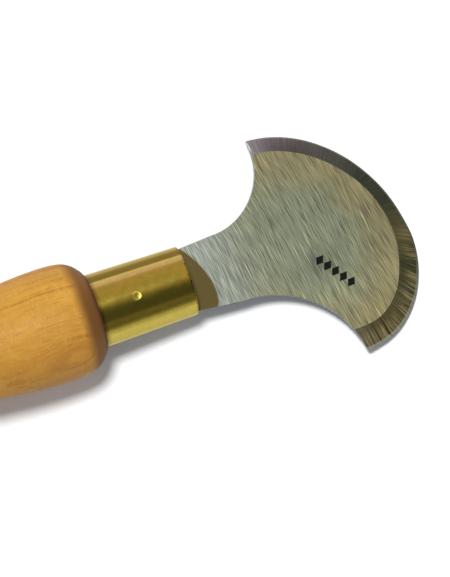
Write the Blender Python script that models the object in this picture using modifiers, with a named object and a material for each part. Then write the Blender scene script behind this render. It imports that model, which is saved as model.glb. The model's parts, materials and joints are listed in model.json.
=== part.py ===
"""Half-moon hand knife for lino, leather and board.

A crescent blade with a flat neck and a hidden tang sits in a turned beech handle. A brass ferrule holds the
handle's split tenon together, and a resin plug beds the tang. The knife lies as it does on a bench: on the
belly of its handle and on the cutting edge.

The knife's own frame has x along the handle's axis, from 0 at the ferrule's mouth towards the edge, y across
the blade and z through its thickness.
"""

import math

import bmesh
import bpy
import numpy as np
from mathutils import Matrix, Vector

NAME = "half_moon_knife"
GAP = 0.0003  # between pieces that touch

# Blade: the plate, its outline and its grind. The back is flat, and the bevel is on the +z face only.
PLATE = 0.0020
EDGE_LAND = 0.00004  # what is left of the thickness at the cutting edge
CENTRE = (0.03222, -0.00130)  # the middle of the crescent
FIRST_ANGLE = -90  # degrees from the handle's axis, where the radii round the middle start
ANGLE_STEP = 15
EDGE_RADII = [  # in metres, from millimetres
    r / 1000 for r in (31.7, 32.8, 34.0, 33.7, 32.3, 30.5, 28.5, 27.4, 26.9, 27.1, 27.9, 29.3, 30.95, 32.6)
]
GRIND_RADII = [
    r / 1000 for r in (24.4, 26.15, 27.9, 27.85, 26.6, 25.4, 24.3, 23.6, 23.2, 23.25, 23.95, 25.2, 26.85, 28.3)
]
UPPER_BAY = (0.00987, 0.02676, 0.01752)  # centre x, centre y and radius of the notch behind each horn
LOWER_BAY = (0.01290, -0.03760, 0.02770)
TIP_ROUND = 0.0007  # how far back from a horn's sharp corner its rounding starts
NECK_HALF = 0.00862  # at the ferrule's mouth
NECK_INSIDE = 0.00845  # inside the ferrule
FLAT_START = 0.0005  # the flats run from here to the edge; behind it the plate is thinned for the kerf
THINNED = 0.0018
THINNED_START = -0.0007
SHOULDER = -0.0080  # where the neck steps down to the tang
TANG_HALVES = (0.0034, 0.0018)  # at the shoulder and at its end
TANG_END = -0.0560

# Ferrule: a slightly tapered brass tube.
FERRULE_LENGTH = 0.0257
FERRULE_RADII = (0.0095, 0.0100)  # at the mouth and at the handle
FERRULE_WALL = 0.0006
FERRULE_ROUND = 0.00022
DIMPLE_PLACE = -0.0150  # the punch mark that stakes the ferrule
DIMPLE_RADIUS = 0.0012
DIMPLE_DEPTH = 0.0004

# Handle: distance behind the ferrule's mouth and radius, nose to waist to butt.
TENON_RECESS = 0.0012
HANDLE_STATIONS = (
    (0.0260, 0.0102),
    (0.0266, 0.0115),
    (0.0282, 0.01338),
    (0.0305, 0.01475),
    (0.0340, 0.01538),
    (0.0385, 0.01548),
    (0.0440, 0.01528),
    (0.0520, 0.01458),
    (0.0640, 0.01315),
    (0.0790, 0.01225),
    (0.0950, 0.01300),
    (0.1080, 0.01395),
)
BUTT_START = 0.1150
BUTT_RADIUS = 0.0142
BUTT_LENGTH = 0.0150
BORE_RADIUS = 0.0046
BORE_END = -0.0600
KERF_END = SHOULDER - 0.0006

TURN_STEPS = 72  # facets around a turned piece
OUTLINE_STEPS = 72  # points along the cutting edge


def arc(centre, radius, start, end, count):
    """Points along a circular arc, from angle start to angle end in radians."""
    angles = np.linspace(start, end, count)
    return [(centre[0] + radius * math.cos(a), centre[1] + radius * math.sin(a)) for a in angles]


def smooth_stations(stations, steps):
    """A smooth line through the stations, with steps segments between neighbours (Catmull-Rom)."""
    points = [Vector(s) for s in stations]
    points = [2 * points[0] - points[1]] + points + [2 * points[-1] - points[-2]]
    line = []
    for a, b, c, d in zip(points, points[1:], points[2:], points[3:]):
        for i in range(steps):
            t = i / steps
            line.append(
                0.5 * (2 * b + (c - a) * t + (2 * a - 5 * b + 4 * c - d) * t**2 + (3 * b - a - 3 * c + d) * t**3)
            )
    return [tuple(p) for p in line] + [tuple(stations[-1])]


def crescent_line(radii):
    """A smooth line round the crescent's middle: its angles in radians and its radii."""
    angles = [math.radians(FIRST_ANGLE + ANGLE_STEP * i) for i in range(len(radii))]
    return np.array(smooth_stations(list(zip(angles, radii)), ANGLE_STEP)).T


EDGE_LINE = crescent_line(EDGE_RADII)
GRIND_LINE = crescent_line(GRIND_RADII)


def on_line(line, angle):
    radius = np.interp(angle, *line)
    return (CENTRE[0] + radius * math.cos(angle), CENTRE[1] + radius * math.sin(angle))


def on_edge(angle):
    return on_line(EDGE_LINE, angle)


def bisect(test, low, high):
    """Where test changes from true at low to false at high."""
    for _ in range(50):
        middle = (low + high) / 2
        low, high = (middle, high) if test(middle) else (low, middle)
    return low


def horn_angle(bay, inside, outside):
    """The angle at which the edge runs into a bay's circle."""

    def clear_of_bay(angle):
        x, y = on_edge(angle)
        return math.hypot(x - bay[0], y - bay[1]) > bay[2]

    return bisect(clear_of_bay, inside, outside)


def softened(before, corner, after, count=6):
    """A round corner: a quadratic curve from before to after that is drawn towards the corner."""
    points = []
    for t in np.linspace(0, 1, count):
        a, b, c = (1 - t) ** 2, 2 * t * (1 - t), t**2
        points.append(tuple(a * p + b * q + c * r for p, q, r in zip(before, corner, after)))
    return points


def horn_angles():
    """The edge's angles at the lower horn and at the upper horn."""
    lower = horn_angle(LOWER_BAY, 0.0, EDGE_LINE[0][0])
    upper = horn_angle(UPPER_BAY, 0.0, EDGE_LINE[0][-1])
    return lower, upper


def bay_stretch(bay, corner, foot, count):
    """The bay's arc from its foot on the neck to just short of the horn's corner."""
    end = math.atan2(corner[1] - bay[1], corner[0] - bay[0])
    step = math.copysign(TIP_ROUND / bay[2], end - foot)
    return arc(bay[:2], bay[2], foot, end - step, count)


def blade_outline():
    """The blade seen square on, anticlockwise from the tang's end along the lower side."""
    lower, upper = horn_angles()
    reach = TIP_ROUND / max(EDGE_RADII)
    lower_side = bay_stretch(LOWER_BAY, on_edge(lower), math.pi / 2, 26)
    upper_side = bay_stretch(UPPER_BAY, on_edge(upper), -math.pi / 2, 26)
    edge = [on_edge(a) for a in np.linspace(lower + reach, upper - reach, OUTLINE_STEPS)]
    near, far = TANG_HALVES
    tang = [(TANG_END, -far), (SHOULDER - 0.001, -near), (SHOULDER, -near - 0.001)]
    neck = [(SHOULDER, -NECK_INSIDE), (-GAP, -NECK_INSIDE), (0.0, -NECK_HALF)]
    back = [(x, -y) for x, y in reversed(tang + neck)]
    points = tang + neck + lower_side
    points += softened(lower_side[-1], on_edge(lower), edge[0])[1:-1]
    points += edge
    points += softened(edge[-1], on_edge(upper), upper_side[-1])[1:-1]
    return points + upper_side[::-1] + back


def rest_pose():
    """The roll and pitch, in radians, that put the handle's belly and the cutting edge on one surface.

    Rolling lowers the +y side of the blade, and pitching lowers the edge. The knife has stopped rolling
    when the point of the edge that touches the surface lies under the handle's axis.
    """
    lower, upper = horn_angles()
    edge = np.array([on_edge(a) for a in np.linspace(lower, upper, 2000)])
    belly = np.array(HANDLE_STATIONS)

    def edge_heights(roll, pitch):
        across = edge[:, 1] * math.sin(roll) + PLATE / 2 * math.cos(roll)
        return -edge[:, 0] * math.sin(pitch) - across * math.cos(pitch)

    def settled_roll(pitch):
        def touches_below(roll):
            return edge[int(np.argmin(edge_heights(roll, pitch))), 1] < 0

        return bisect(touches_below, 0.0, 0.3)

    def nose_high(pitch):
        belly_heights = belly[:, 0] * math.sin(pitch) - belly[:, 1] * math.cos(pitch)
        return edge_heights(settled_roll(pitch), pitch).min() > belly_heights.min()

    pitch = bisect(nose_high, 0.0, 0.4)
    return settled_roll(pitch), pitch


def handle_profile():
    """Radius and place along the axis, from the tenon's front to the middle of the butt."""
    tenon_front = FERRULE_RADII[0] - FERRULE_WALL - GAP
    tenon_back = FERRULE_RADII[1] - FERRULE_WALL - GAP
    shoulder = -HANDLE_STATIONS[0][0]
    profile = [(0.0, -TENON_RECESS), (tenon_front, -TENON_RECESS), (tenon_back, shoulder)]
    profile += [(r, -s) for s, r in smooth_stations(HANDLE_STATIONS, 3)]
    for a in np.linspace(0, math.pi / 2, 12):
        profile.append((BUTT_RADIUS * math.cos(a), -BUTT_START - BUTT_LENGTH * math.sin(a)))
    profile[-1] = (0.0, profile[-1][1])
    return profile


def ferrule_profile():
    """A closed section of the tube: down its outer side, and back up the bore."""
    mouth, back = FERRULE_RADII
    end, r = -FERRULE_LENGTH, FERRULE_ROUND
    outer = [(mouth - r * (1 - math.sin(a)), -r * (1 - math.cos(a))) for a in np.linspace(0, math.pi / 2, 5)]
    outer += [(back, end + r), (back - r, end)]
    return outer + [(back - FERRULE_WALL, end), (mouth - FERRULE_WALL, 0.0)]


def material(name, colour, roughness, metallic):
    made = bpy.data.materials.new(name)
    made.use_nodes = True
    shader = made.node_tree.nodes["Principled BSDF"]
    shader.inputs["Base Color"].default_value = (*colour, 1.0)
    shader.inputs["Roughness"].default_value = roughness
    shader.inputs["Metallic"].default_value = metallic
    return made


def new_object(name, mesh, collection, parent):
    made = bpy.data.objects.new(name, mesh)
    collection.objects.link(made)
    made.parent = parent
    return made


def turned(name, profile, collection, parent, closed=False):
    """A piece turned on the knife's axis, from a profile of (radius, place along the axis)."""
    mesh = bpy.data.meshes.new(name)
    edges = [(i, i + 1) for i in range(len(profile) - 1)]
    if closed:
        edges.append((len(profile) - 1, 0))
    mesh.from_pydata([(r, 0.0, z) for r, z in profile], edges, [])
    made = new_object(name, mesh, collection, parent)
    made.rotation_euler = (0.0, math.pi / 2, 0.0)
    screw = made.modifiers.new("Turn", "SCREW")
    screw.axis = "Z"
    screw.steps = screw.render_steps = TURN_STEPS
    screw.use_merge_vertices = True
    screw.merge_threshold = 0.000001
    screw.use_smooth_shade = True
    return made


def flat_plate(name, outline, thickness, collection, parent):
    """A plate of an outline in the blade's plane, centred on it, as a mesh that can be cut."""
    curve = bpy.data.curves.new(name, "CURVE")
    curve.dimensions = "2D"
    curve.fill_mode = "BOTH"
    curve.extrude = thickness / 2
    spline = curve.splines.new("POLY")
    spline.points.add(len(outline) - 1)
    for point, (x, y) in zip(spline.points, outline):
        point.co = (x, y, 0.0, 1.0)
    spline.use_cyclic_u = True
    drawn = bpy.data.objects.new(name + "_outline", curve)
    collection.objects.link(drawn)
    graph = bpy.context.evaluated_depsgraph_get()
    mesh = bpy.data.meshes.new_from_object(drawn.evaluated_get(graph))
    bpy.data.objects.remove(drawn)
    bpy.data.curves.remove(curve)
    mesh.name = name
    built = bmesh.new()
    built.from_mesh(mesh)
    bmesh.ops.remove_doubles(built, verts=built.verts, dist=0.000001)
    bmesh.ops.recalc_face_normals(built, faces=built.faces)
    built.to_mesh(mesh)
    built.free()
    return new_object(name, mesh, collection, parent)


def thin_behind_flats(mesh):
    """Thins the plate behind the flats, with a short slope under the ferrule's mouth."""
    built = bmesh.new()
    built.from_mesh(mesh)
    for place in (FLAT_START, THINNED_START):
        everything = [*built.verts, *built.edges, *built.faces]
        bmesh.ops.bisect_plane(built, geom=everything, plane_co=(place, 0, 0), plane_no=(1, 0, 0))
    for v in built.verts:
        half = np.interp(v.co.x, (THINNED_START, FLAT_START), (THINNED / 2, PLATE / 2))
        v.co.z = math.copysign(half, v.co.z)
    built.to_mesh(mesh)
    built.free()


def grinding_cutter(collection, parent):
    """What the wheel takes off the blade: a ring above the bevel, lofted round the grind line and the edge."""
    lower, upper = horn_angles()
    over = 0.09  # radians past each horn
    clear = 0.004  # past the edge, and above the plate
    built = bmesh.new()
    rings = []
    for a in np.linspace(lower - over, upper + over, OUTLINE_STEPS + 8):
        edge = Vector((*on_edge(a), EDGE_LAND - PLATE / 2))
        line = Vector((*on_line(GRIND_LINE, a), PLATE / 2))
        slope = (edge - line) / (edge - line).xy.length
        inner = line - slope * clear * 0.1
        outer = edge + slope * clear
        high = PLATE / 2 + clear
        section = [inner, outer, Vector((outer.x, outer.y, high)), Vector((inner.x, inner.y, high))]
        rings.append([built.verts.new(p) for p in section])
    for one, two in zip(rings, rings[1:]):
        for i in range(4):
            j = (i + 1) % 4
            built.faces.new((one[i], one[j], two[j], two[i]))
    built.faces.new(rings[0][::-1])
    built.faces.new(rings[-1])
    bmesh.ops.recalc_face_normals(built, faces=built.faces)
    mesh = bpy.data.meshes.new("grind")
    built.to_mesh(mesh)
    built.free()
    return cutter(new_object("grind", mesh, collection, parent))


def cutter(made):
    made.hide_render = True
    made.display_type = "WIRE"
    return made


def box_cutter(name, low, high, collection, parent):
    """A box between two corners in the knife's frame."""
    built = bmesh.new()
    bmesh.ops.create_cube(built, size=1.0)
    size = [b - a for a, b in zip(low, high)]
    bmesh.ops.scale(built, vec=size, verts=built.verts)
    bmesh.ops.translate(built, vec=[(a + b) / 2 for a, b in zip(low, high)], verts=built.verts)
    mesh = bpy.data.meshes.new(name)
    built.to_mesh(mesh)
    built.free()
    return cutter(new_object(name, mesh, collection, parent))


def cut(piece, tool):
    boolean = piece.modifiers.new("Cut " + tool.name, "BOOLEAN")
    boolean.operation = "DIFFERENCE"
    boolean.solver = "EXACT"
    boolean.object = tool


def make_blade(parts, cutters, knife):
    blade = flat_plate("blade", blade_outline(), PLATE, parts, knife)
    thin_behind_flats(blade.data)
    cut(blade, grinding_cutter(cutters, knife))
    blade.data.materials.append(material("blade_steel", (0.42, 0.43, 0.38), 0.34, 1.0))
    return blade


def make_ferrule(parts, cutters, knife):
    ferrule = turned("ferrule", ferrule_profile(), parts, knife, closed=True)
    radius = (DIMPLE_RADIUS**2 + DIMPLE_DEPTH**2) / (2 * DIMPLE_DEPTH)
    share = -DIMPLE_PLACE / FERRULE_LENGTH
    surface = FERRULE_RADII[0] + (FERRULE_RADII[1] - FERRULE_RADII[0]) * share
    mesh = bpy.data.meshes.new("punch")
    built = bmesh.new()
    bmesh.ops.create_uvsphere(built, u_segments=32, v_segments=20, radius=radius)
    built.to_mesh(mesh)
    built.free()
    punch = cutter(new_object("punch", mesh, cutters, knife))
    punch.location = (DIMPLE_PLACE, 0.0, surface + radius - DIMPLE_DEPTH)
    cut(ferrule, punch)
    ferrule.data.materials.append(material("ferrule_brass", (0.62, 0.47, 0.13), 0.18, 1.0))
    return ferrule


def make_handle(parts, cutters, knife):
    handle = turned("handle", handle_profile(), parts, knife)
    kerf = THINNED / 2 + GAP
    wide = FERRULE_RADII[1]
    cut(handle, box_cutter("kerf", (KERF_END, -wide, -kerf), (0.001, wide, kerf), cutters, knife))
    mesh = bpy.data.meshes.new("bore")
    built = bmesh.new()
    depth = KERF_END + 0.002 - BORE_END
    bmesh.ops.create_cone(
        built, cap_ends=True, segments=40, radius1=BORE_RADIUS, radius2=BORE_RADIUS, depth=depth
    )
    built.to_mesh(mesh)
    built.free()
    bore = cutter(new_object("bore", mesh, cutters, knife))
    bore.rotation_euler = (0.0, math.pi / 2, 0.0)
    bore.location = (BORE_END + depth / 2, 0.0, 0.0)
    cut(handle, bore)
    handle.data.materials.append(material("handle_beech", (0.58, 0.31, 0.07), 0.38, 0.0))
    return handle


def make_bedding(parts, cutters, knife):
    """The resin plug around the tang, open at its front where the tang enters."""
    radius = BORE_RADIUS - GAP
    front, end = KERF_END - GAP, BORE_END + GAP
    plug = turned("tang_bedding", [(0, front), (radius, front), (radius, end), (0, end)], parts, knife)
    near, far = TANG_HALVES
    slot = [
        (TANG_END - GAP, -far - GAP),
        (SHOULDER, -near - GAP),
        (SHOULDER + 0.001, -near - GAP),
        (SHOULDER + 0.001, near + GAP),
        (SHOULDER, near + GAP),
        (TANG_END - GAP, far + GAP),
    ]
    cut(plug, cutter(flat_plate("tang_slot", slot, THINNED + 2 * GAP, cutters, knife)))
    plug.data.materials.append(material("bedding_resin", (0.10, 0.075, 0.05), 0.55, 0.0))
    return plug


def stand_on_origin(knife, parts):
    """Moves the knife so that its box stands on the origin, centred in x and y."""
    graph = bpy.context.evaluated_depsgraph_get()
    corners = []
    for piece in parts.objects:
        evaluated = piece.evaluated_get(graph)
        mesh = evaluated.to_mesh()
        corners += [evaluated.matrix_world @ v.co for v in mesh.vertices]
        evaluated.to_mesh_clear()
    corners = np.array(corners)
    low, high = corners.min(axis=0), corners.max(axis=0)
    knife.location -= Vector(((low[0] + high[0]) / 2, (low[1] + high[1]) / 2, low[2]))


def main():
    for old in list(bpy.data.objects):
        bpy.data.objects.remove(old)
    parts = bpy.data.collections.new(NAME)
    cutters = bpy.data.collections.new("cutters")
    for collection in (parts, cutters):
        bpy.context.scene.collection.children.link(collection)

    roll, pitch = rest_pose()
    knife = bpy.data.objects.new("knife_axis", None)
    bpy.context.scene.collection.objects.link(knife)
    turn = Matrix.Rotation(pitch, 3, "Y") @ Matrix.Rotation(-roll, 3, "X")
    knife.rotation_euler = turn.to_euler()

    make_blade(parts, cutters, knife)
    make_ferrule(parts, cutters, knife)
    make_handle(parts, cutters, knife)
    make_bedding(parts, cutters, knife)
    bpy.context.view_layer.update()
    stand_on_origin(knife, parts)


main()
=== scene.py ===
"""Half-moon hand knife with its finished surfaces, lying on a pale studio floor.

Every shape is drawn in the knife's own frame: x runs along the handle's axis from 0 at the ferrule's
mouth towards the edge, y across the blade and z through its thickness. Lengths are in metres, and the
materials work in millimetres of the same frame.
"""

import json
import math

import bmesh
import bpy
import numpy as np
from mathutils import Matrix, Vector, noise


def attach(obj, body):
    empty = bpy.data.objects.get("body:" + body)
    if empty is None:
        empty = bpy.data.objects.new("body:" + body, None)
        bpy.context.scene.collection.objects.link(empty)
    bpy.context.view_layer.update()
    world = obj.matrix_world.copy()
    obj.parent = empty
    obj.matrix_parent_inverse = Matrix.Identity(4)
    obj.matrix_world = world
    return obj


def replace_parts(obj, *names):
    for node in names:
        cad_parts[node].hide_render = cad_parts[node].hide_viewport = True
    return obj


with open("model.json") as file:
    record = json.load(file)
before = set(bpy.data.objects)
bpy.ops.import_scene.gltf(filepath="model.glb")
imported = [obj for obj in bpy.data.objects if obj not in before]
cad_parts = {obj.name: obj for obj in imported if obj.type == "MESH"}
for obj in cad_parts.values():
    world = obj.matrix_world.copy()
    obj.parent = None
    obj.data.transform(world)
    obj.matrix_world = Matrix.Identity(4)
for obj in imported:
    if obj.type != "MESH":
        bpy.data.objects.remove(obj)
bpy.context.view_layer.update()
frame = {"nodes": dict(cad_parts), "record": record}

bl_info = {
    "name": "Half-moon hand knife",
    "version": (1, 0, 0),
    "blender": (4, 5, 0),
    "location": "View3D > Sidebar > Knife",
    "description": "Builds a half-moon hand knife with ground steel, polished brass and lacquered beech",
    "category": "Object",
}

MM = 0.001
BODY = "root"
STEEL = "steel"  # the collection that the key light falls on

# Blade, as the frame has it.
PLATE = 2.0 * MM
EDGE_LAND = 0.04 * MM
CENTRE = (32.22 * MM, -1.30 * MM)  # the middle of the crescent
FIRST_ANGLE = -90  # degrees from the handle's axis, where the radii round the middle start
ANGLE_STEP = 15
EDGE_RADII = (31.7, 32.8, 34.0, 33.7, 32.3, 30.5, 28.5, 27.4, 26.9, 27.1, 27.9, 29.3, 30.95, 32.6)
GRIND_RADII = (24.4, 26.15, 27.9, 27.85, 26.6, 25.4, 24.3, 23.6, 23.2, 23.25, 23.95, 25.2, 26.85, 28.3)
UPPER_BAY = (9.87 * MM, 26.76 * MM, 17.52 * MM)
LOWER_BAY = (12.90 * MM, -37.60 * MM, 27.70 * MM)
TIP_ROUND = 0.7 * MM
NECK_HALF = 8.62 * MM
NECK_INSIDE = 8.45 * MM
FLAT_START = 0.5 * MM  # the flats run from here to the edge; behind it the plate is thinned for the kerf
THINNED = 1.8 * MM
THINNED_START = -0.7 * MM
SHOULDER = -8.0 * MM
TANG_HALVES = (3.4 * MM, 1.8 * MM)
TANG_END = -56.0 * MM
FACE_PLACE = 30.0 * MM  # where along the axis the record's blade_face mount lies

# Ferrule.
FERRULE_LENGTH = 25.7 * MM
FERRULE_RADII = (9.5 * MM, 10.0 * MM)
FERRULE_WALL = 0.6 * MM
DIMPLE_PLACE = -15.0 * MM
DIMPLE_AHEAD, DIMPLE_BEHIND, DIMPLE_ASIDE = 2.6, 3.4, 3.0  # how far the mark may reach, in millimetres

# Handle: distance behind the ferrule's mouth and radius.
GAP = 0.3 * MM
TENON_RECESS = 1.2 * MM
HANDLE_STATIONS = (
    (25.75, 10.15),
    (26.5, 11.5),
    (28.2, 13.38),
    (30.5, 14.75),
    (34.0, 15.38),
    (38.5, 15.48),
    (44.0, 15.28),
    (52.0, 14.58),
    (64.0, 13.15),
    (79.0, 12.25),
    (95.0, 13.00),
    (108.0, 13.95),
)
BUTT_START = 115.0 * MM
BUTT_RADIUS = 14.2 * MM
BUTT_LENGTH = 15.0 * MM
BORE_RADIUS = 4.6 * MM
BORE_END = -60.0 * MM
KERF_END = SHOULDER - 0.6 * MM

# Studio. The lamps' directions are from the ferrule's mouth, in the knife's frame.
KEY_LEAN = (-0.78, 0.635, 1.0)
KEY_DISTANCE = 1.0
KEY_SIZE = 0.05
SOFT_LEAN = (-0.16, 0.25, 1.0)
SOFT_DISTANCE = 2.0
SOFT_SIZE = 0.4
FLOOR_RADIUS = 4.0
AXIS_CLIMB = math.radians(18.65)  # how steeply the handle's axis rises to the right in the view
VIEW_CENTRE = (9.0 * MM, -5.2 * MM)  # from the ferrule's mouth
SENSOR_WIDTH = 36.0


def knife_frame():
    """The knife's own frame in the world. Its x axis has no sideways part, so one flat face gives it."""
    face = next(m for m in frame["record"]["mounts"] if m["name"] == "blade_face")
    up = Vector(face["axis"]).normalized()
    forward = Vector((up.z, 0.0, -up.x)).normalized()
    across = up.cross(forward)
    origin = Vector(face["pos_m"]) - forward * FACE_PLACE - up * PLATE / 2
    turn = Matrix((forward, across, up)).transposed()
    return Matrix.Translation(origin) @ turn.to_4x4()


KNIFE = knife_frame()


# Settings ------------------------


class KnifeShape(bpy.types.PropertyGroup):
    """Sizes of the details that the finished surfaces add to the frame's solids."""

    hone_width: bpy.props.FloatProperty(
        name="Honed band",
        description="Width of the bright honed band along the cutting edge",
        default=0.6 * MM,
        unit="LENGTH",
    )
    edge_break: bpy.props.FloatProperty(
        name="Edge break",
        description="Width of the filed corner along the blade's back edges",
        default=0.22 * MM,
        unit="LENGTH",
    )
    dimple_depth: bpy.props.FloatProperty(
        name="Dimple depth",
        description="Depth of the punch mark that stakes the ferrule",
        default=0.10 * MM,
        unit="LENGTH",
    )
    turning_ripple: bpy.props.FloatProperty(
        name="Turning ripple",
        description="How far the sanded handle strays from a true round",
        default=0.05 * MM,
        unit="LENGTH",
    )


class KnifeFinish(bpy.types.PropertyGroup):
    """Colours and gloss of the knife's finishes."""

    steel_tint: bpy.props.FloatVectorProperty(
        name="Steel tint",
        description="Colour of the ground steel next to the neck",
        default=(0.096, 0.105, 0.088),
        subtype="COLOR",
    )
    plate_tint: bpy.props.FloatVectorProperty(
        name="Steel tint in the middle",
        description="Colour of the ground steel in the middle of the crescent",
        default=(0.067, 0.075, 0.048),
        subtype="COLOR",
    )
    rim_tint: bpy.props.FloatVectorProperty(
        name="Steel tint at the bevel",
        description="Warmer colour of the ground steel next to the bevel",
        default=(0.078, 0.069, 0.034),
        subtype="COLOR",
    )
    brass_tint: bpy.props.FloatVectorProperty(
        name="Brass",
        description="Colour of the polished ferrule",
        default=(0.47, 0.385, 0.072),
        subtype="COLOR",
    )
    beech_tint: bpy.props.FloatVectorProperty(
        name="Beech",
        description="Colour of the lacquered beech",
        default=(0.485, 0.240, 0.032),
        subtype="COLOR",
    )
    lacquer_weight: bpy.props.FloatProperty(
        name="Lacquer",
        description="Strength of the clear lacquer on the handle",
        default=0.03,
        subtype="FACTOR",
    )


class KnifeStudio(bpy.types.PropertyGroup):
    """The floor, the lights and the camera."""

    key_energy: bpy.props.FloatProperty(
        name="Key light",
        description="Power of the small light behind the handle, which falls on the blade only",
        default=30.0,
        unit="POWER",
    )
    soft_energy: bpy.props.FloatProperty(
        name="Soft light",
        description="Power of the broad light overhead",
        default=38.0,
        unit="POWER",
    )
    camera_height: bpy.props.FloatProperty(
        name="Camera height",
        description="Height of the camera above the floor",
        default=1.2,
        unit="LENGTH",
    )
    view_height: bpy.props.FloatProperty(
        name="View height",
        description="Length that fills the picture from bottom to top, at the ferrule",
        default=152.9 * MM,
        unit="LENGTH",
    )


# Shader maths ------------------------


class Link:
    """One output of a node, as a number that takes part in Python's arithmetic."""

    def __init__(self, graph, socket):
        self.graph = graph
        self.socket = socket

    def _math(self, operation, *values):
        return self.graph.make("Math", {"operation": operation}, dict(enumerate(values)))

    def __add__(self, other):
        return self._math("ADD", self, other)

    __radd__ = __add__

    def __sub__(self, other):
        return self._math("SUBTRACT", self, other)

    def __rsub__(self, other):
        return self._math("SUBTRACT", other, self)

    def __mul__(self, other):
        return self._math("MULTIPLY", self, other)

    __rmul__ = __mul__

    def __truediv__(self, other):
        return self._math("DIVIDE", self, other)

    def __rtruediv__(self, other):
        return self._math("DIVIDE", other, self)

    def __pow__(self, other):
        return self._math("POWER", self, other)

    def __rpow__(self, other):
        return self._math("POWER", other, self)

    def __abs__(self):
        return self._math("ABSOLUTE", self)

    def below(self, limit):
        return self._math("LESS_THAN", self, limit)

    def fraction(self):
        return self._math("FRACT", self)

    def clamped(self, low=0.0, high=1.0):
        return self._math("MINIMUM", self._math("MAXIMUM", self, low), high)

    def ramp(self, low, high, start=0.0, end=1.0):
        """A smooth step from start to end while this number goes from low to high."""
        settings = {"interpolation_type": "SMOOTHSTEP"}
        values = {"Value": self, "From Min": low, "From Max": high, "To Min": start, "To Max": end}
        return self.graph.make("MapRange", settings, values)


class Graph:
    """The node tree of one material, or of the world."""

    def __init__(self, tree):
        self.tree = tree

    def make(self, kind, settings, values, output=0):
        """Adds a node of a kind, with its settings first and then the values or links of its sockets."""
        node = self.tree.nodes.new("ShaderNode" + kind)
        for name, value in settings.items():
            if name == "stops":
                fill_ramp(node.color_ramp, value)
            else:
                setattr(node, name, value)
        for key, value in values.items():
            if isinstance(value, Link):
                self.tree.links.new(value.socket, node.inputs[key])
            else:
                node.inputs[key].default_value = value
        return Link(self, node.outputs[output])

    def mix(self, factor, one, two):
        """Two colours mixed: one where the factor is 0, two where it is 1."""
        values = {0: factor, 6: colour(one), 7: colour(two)}
        return self.make("Mix", {"data_type": "RGBA", "clamp_result": False}, values, output=2)

    def place(self):
        """The place on the knife in millimetres: the vector and its three parts."""
        point = self.make("TexCoord", {}, {}, output="Object")
        scaled = self.make("VectorMath", {"operation": "SCALE"}, {0: point, "Scale": 1 / MM})
        parts = [self.make("SeparateXYZ", {}, {0: scaled}, output=i) for i in range(3)]
        return scaled, *parts

    def vector(self, x, y, z):
        """A vector from its three parts."""
        return self.make("CombineXYZ", {}, {0: x, 1: y, 2: z})

    def scaled(self, tint, factor):
        """A colour that is brighter or darker by a factor."""
        return self.make("VectorMath", {"operation": "SCALE"}, {0: tint, "Scale": factor})

    def noise(self, point, scale, detail=3.0, rough=0.5, distortion=0.0):
        """Soft noise around 0.5, with scale waves to a unit of the point, a vector or its three parts."""
        point = self.vector(*point) if isinstance(point, tuple) else point
        values = {"Vector": point, "Scale": scale, "Detail": detail, "Roughness": rough}
        return self.make("TexNoise", {}, {**values, "Distortion": distortion})

    def tint_along(self, number, tints):
        """A colour that follows a number through a list of (number, colour) pairs."""
        first, last = tints[0][0], tints[-1][0]
        stops = [((place - first) / (last - first), tint) for place, tint in tints]
        return self.make("ValToRGB", {"stops": stops}, {0: (number - first) / (last - first)})

    def bump(self, height, strength, distance):
        """A normal from a height: strength is from 0 to 1, and distance is the height of 1 in metres."""
        return self.make("Bump", {}, {"Height": height, "Strength": strength, "Distance": distance})


def fill_ramp(ramp, stops):
    """Sets a colour ramp's stops, as (place from 0 to 1, colour) pairs."""
    while len(ramp.elements) < len(stops):
        ramp.elements.new(1.0)
    for element, (place, tint) in zip(ramp.elements, stops):
        element.position = place
        element.color = colour(tint)


def colour(value):
    """A colour with its alpha, or the link that gives one."""
    if isinstance(value, Link):
        return value
    return (*value[:3], 1.0)


def surface(name, constants):
    """A new material, its graph and its Principled shader with the values that are the same all over."""
    made = bpy.data.materials.new(name)
    made.use_nodes = True
    shader = made.node_tree.nodes["Principled BSDF"]
    for socket, value in constants.items():
        shader.inputs[socket].default_value = value
    return made, Graph(made.node_tree), shader


def feed(graph, shader, **links):
    """Links what varies over the surface to the shader: base_color, roughness, normal and so on."""
    for name, link in links.items():
        socket = name.replace("_", " ").title()
        graph.tree.links.new(link.socket, shader.inputs[socket])


# Finishes ------------------------


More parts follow.
